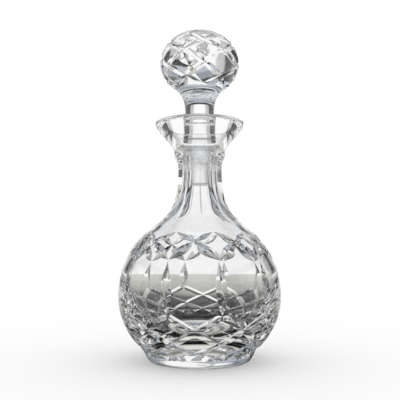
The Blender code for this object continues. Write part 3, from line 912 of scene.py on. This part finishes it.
# %% [markdown]
# ## What the glass sees
#
# Clear glass shows only what stands round it. The camera itself sees white paper and a white
# world. Rays that the glass has bent or mirrored see something else instead: a table of glowing
# rings of painted light and shade on the floor, four bright screens with dark gaps, and a ceiling in bands.
#
# No real studio looks like this. The rings and bands were fitted to the tones of the picture,
# first by least squares and then one by one. In plain white surroundings the same glass is nearly
# white, with fine grey lines.
#
# The rings are finest near the foot, so the ramp is read at the square root of the distance,
# which gives the small rings more of its length. Half a metre out, the table ends in white.

# %% Floor
FLOOR_HALF = 6.0
TABLE_REACH = 0.6
# Painted light and shade: the rings' distances and lights, and the warm tint of their lower lights.
PAINTED_RING_TINT = (1.0, 1.0, 0.94)
PAINTED_RING_LIGHTS = ((0, 1), (0.009, 1), (0.011, 0.3), (0.0135, 0.3), (0.0155, 0.7), (0.02, 0.7),
               (0.022, 0.25), (0.025, 0.25), (0.027, 0.8), (0.0315, 0.8), (0.034, 0), (0.064, 0),
               (0.068, 0.2), (0.072, 0.2), (0.076, 0.02), (0.1, 0.04), (0.128, 0.1), (0.14, 0.26),
               (0.155, 0.4), (0.2, 0.48), (0.24, 0.54), (0.5, 0.65), (0.52, 1))


def tinted(light, tint):
    """A tint at a lower light; full light stays white."""
    return (light, light, light, 1) if light == 1 else (*(light * channel for channel in tint), 1)


def floor_material():
    """White paper to the camera, and glowing rings of painted light and shade to rays that the glass has
    turned.
    """
    material = bpy.data.materials.new("pale_floor")
    material.use_nodes = True
    material.node_tree.nodes.clear()
    tree = Tree(material.node_tree.nodes)
    place = tree.add("ShaderNodeTexCoord", output="Object")
    distance = tree.add("ShaderNodeVectorMath", {"operation": "LENGTH"}, [place], output="Value")
    rings = [(math.sqrt(radius / TABLE_REACH), tinted(light, PAINTED_RING_TINT)) for radius, light in PAINTED_RING_LIGHTS]
    glow = tree.add("ShaderNodeValToRGB", {"stops": rings}, [(distance / TABLE_REACH) ** 0.5])
    # The floor glows with these rings of painted light and shade, seen only by rays that the glass has
    # turned.
    painted_rings = tree.add("ShaderNodeEmission", values={"Color": glow, "Strength": 1.0})
    paper = tree.add("ShaderNodeBsdfDiffuse", values={"Color": (1.0, 1.0, 1.0, 1)})
    glossy = tree.add("ShaderNodeLightPath", output="Is Glossy Ray")
    through = tree.add("ShaderNodeLightPath", output="Is Transmission Ray")
    mixed = tree.add("ShaderNodeMixShader", values=[glossy.math("MAXIMUM", glossy, through), paper, painted_rings])
    tree.fill(material.node_tree.nodes.new("ShaderNodeOutputMaterial").inputs["Surface"], mixed)
    return material


def make_floor():
    mesh = bpy.data.meshes.new("floor")
    corners = [(x * FLOOR_HALF, y * FLOOR_HALF, 0) for x, y in ((-1, -1), (1, -1), (1, 1), (-1, 1))]
    mesh.from_pydata(corners, [], [(0, 1, 2, 3)])
    mesh.materials.append(floor_material())
    floor = bpy.data.objects.new("floor", mesh)
    scene.collection.objects.link(floor)


make_floor()
print("floor", 2 * FLOOR_HALF, "m wide, with", len(PAINTED_RING_LIGHTS), "places on its ramp")

# %% [markdown]
# ### Screens and ceiling
#
# The screens stand on the four axes, so one eighth of the turn repeats all round. They reach 22
# degrees up and fade within three more into the ceiling, whose bands are slightly blue.

# %% World
RIGHT_ANGLE = 90
SCREEN_LIGHTS = ((0, 1), (15, 1), (18, 0.6), (28, 0.5), (31, 0.05), (45, 0.05))
CEILING_LIGHTS = ((0, 0.024), (31, 0.024), (33, 0.61), (39, 0.61), (41, 0.37), (49, 0.37), (51, 0.024),
                  (59, 0.024), (61, 0.49), (74, 0.49), (76, 0.99))
CEILING_TINT = (0.82, 0.88, 1.0)
SCREEN_TOP = 22
SCREEN_EDGE = 3


def make_world():
    """Plain white to the camera, and screens under a banded ceiling to rays that the glass has turned."""
    world = bpy.data.worlds.new("studio")
    world.use_nodes = True
    world.node_tree.nodes.clear()
    scene.world = world
    tree = Tree(world.node_tree.nodes)
    direction = tree.add("ShaderNodeTexCoord", output="Generated")
    x, y, up = (tree.add("ShaderNodeSeparateXYZ", values=[direction], output=axis) for axis in "XYZ")
    elevation = up.math("ARCSINE", up) * math.degrees(1)
    x, y = x.math("ABSOLUTE", x), y.math("ABSOLUTE", y)
    turn = x.math("ARCTAN2", x.math("MINIMUM", x, y), x.math("MAXIMUM", x, y)) * math.degrees(1)
    stops = [(angle / RIGHT_ANGLE, (light, light, light, 1)) for angle, light in SCREEN_LIGHTS]
    screens = tree.add("ShaderNodeValToRGB", {"stops": stops}, [turn / RIGHT_ANGLE])
    stops = [(angle / RIGHT_ANGLE, tinted(light, CEILING_TINT)) for angle, light in CEILING_LIGHTS]
    ceiling = tree.add("ShaderNodeValToRGB", {"stops": stops}, [elevation / RIGHT_ANGLE])
    above = elevation.math("DIVIDE", elevation - SCREEN_TOP, SCREEN_EDGE, clamp=True)
    sky = tree.add("ShaderNodeMixRGB", values=[above, screens, ceiling])
    glossy = tree.add("ShaderNodeLightPath", output="Is Glossy Ray")
    through = tree.add("ShaderNodeLightPath", output="Is Transmission Ray")
    studio = tree.add("ShaderNodeBackground", values={"Color": sky, "Strength": 1.0})
    plain = tree.add("ShaderNodeBackground", values={"Color": (1, 1, 1, 1), "Strength": 1.0})
    mixed = tree.add("ShaderNodeMixShader", values=[glossy.math("MAXIMUM", glossy, through), plain, studio])
    tree.fill(world.node_tree.nodes.new("ShaderNodeOutputWorld").inputs["Surface"], mixed)


make_world()
print("world", scene.world.name)
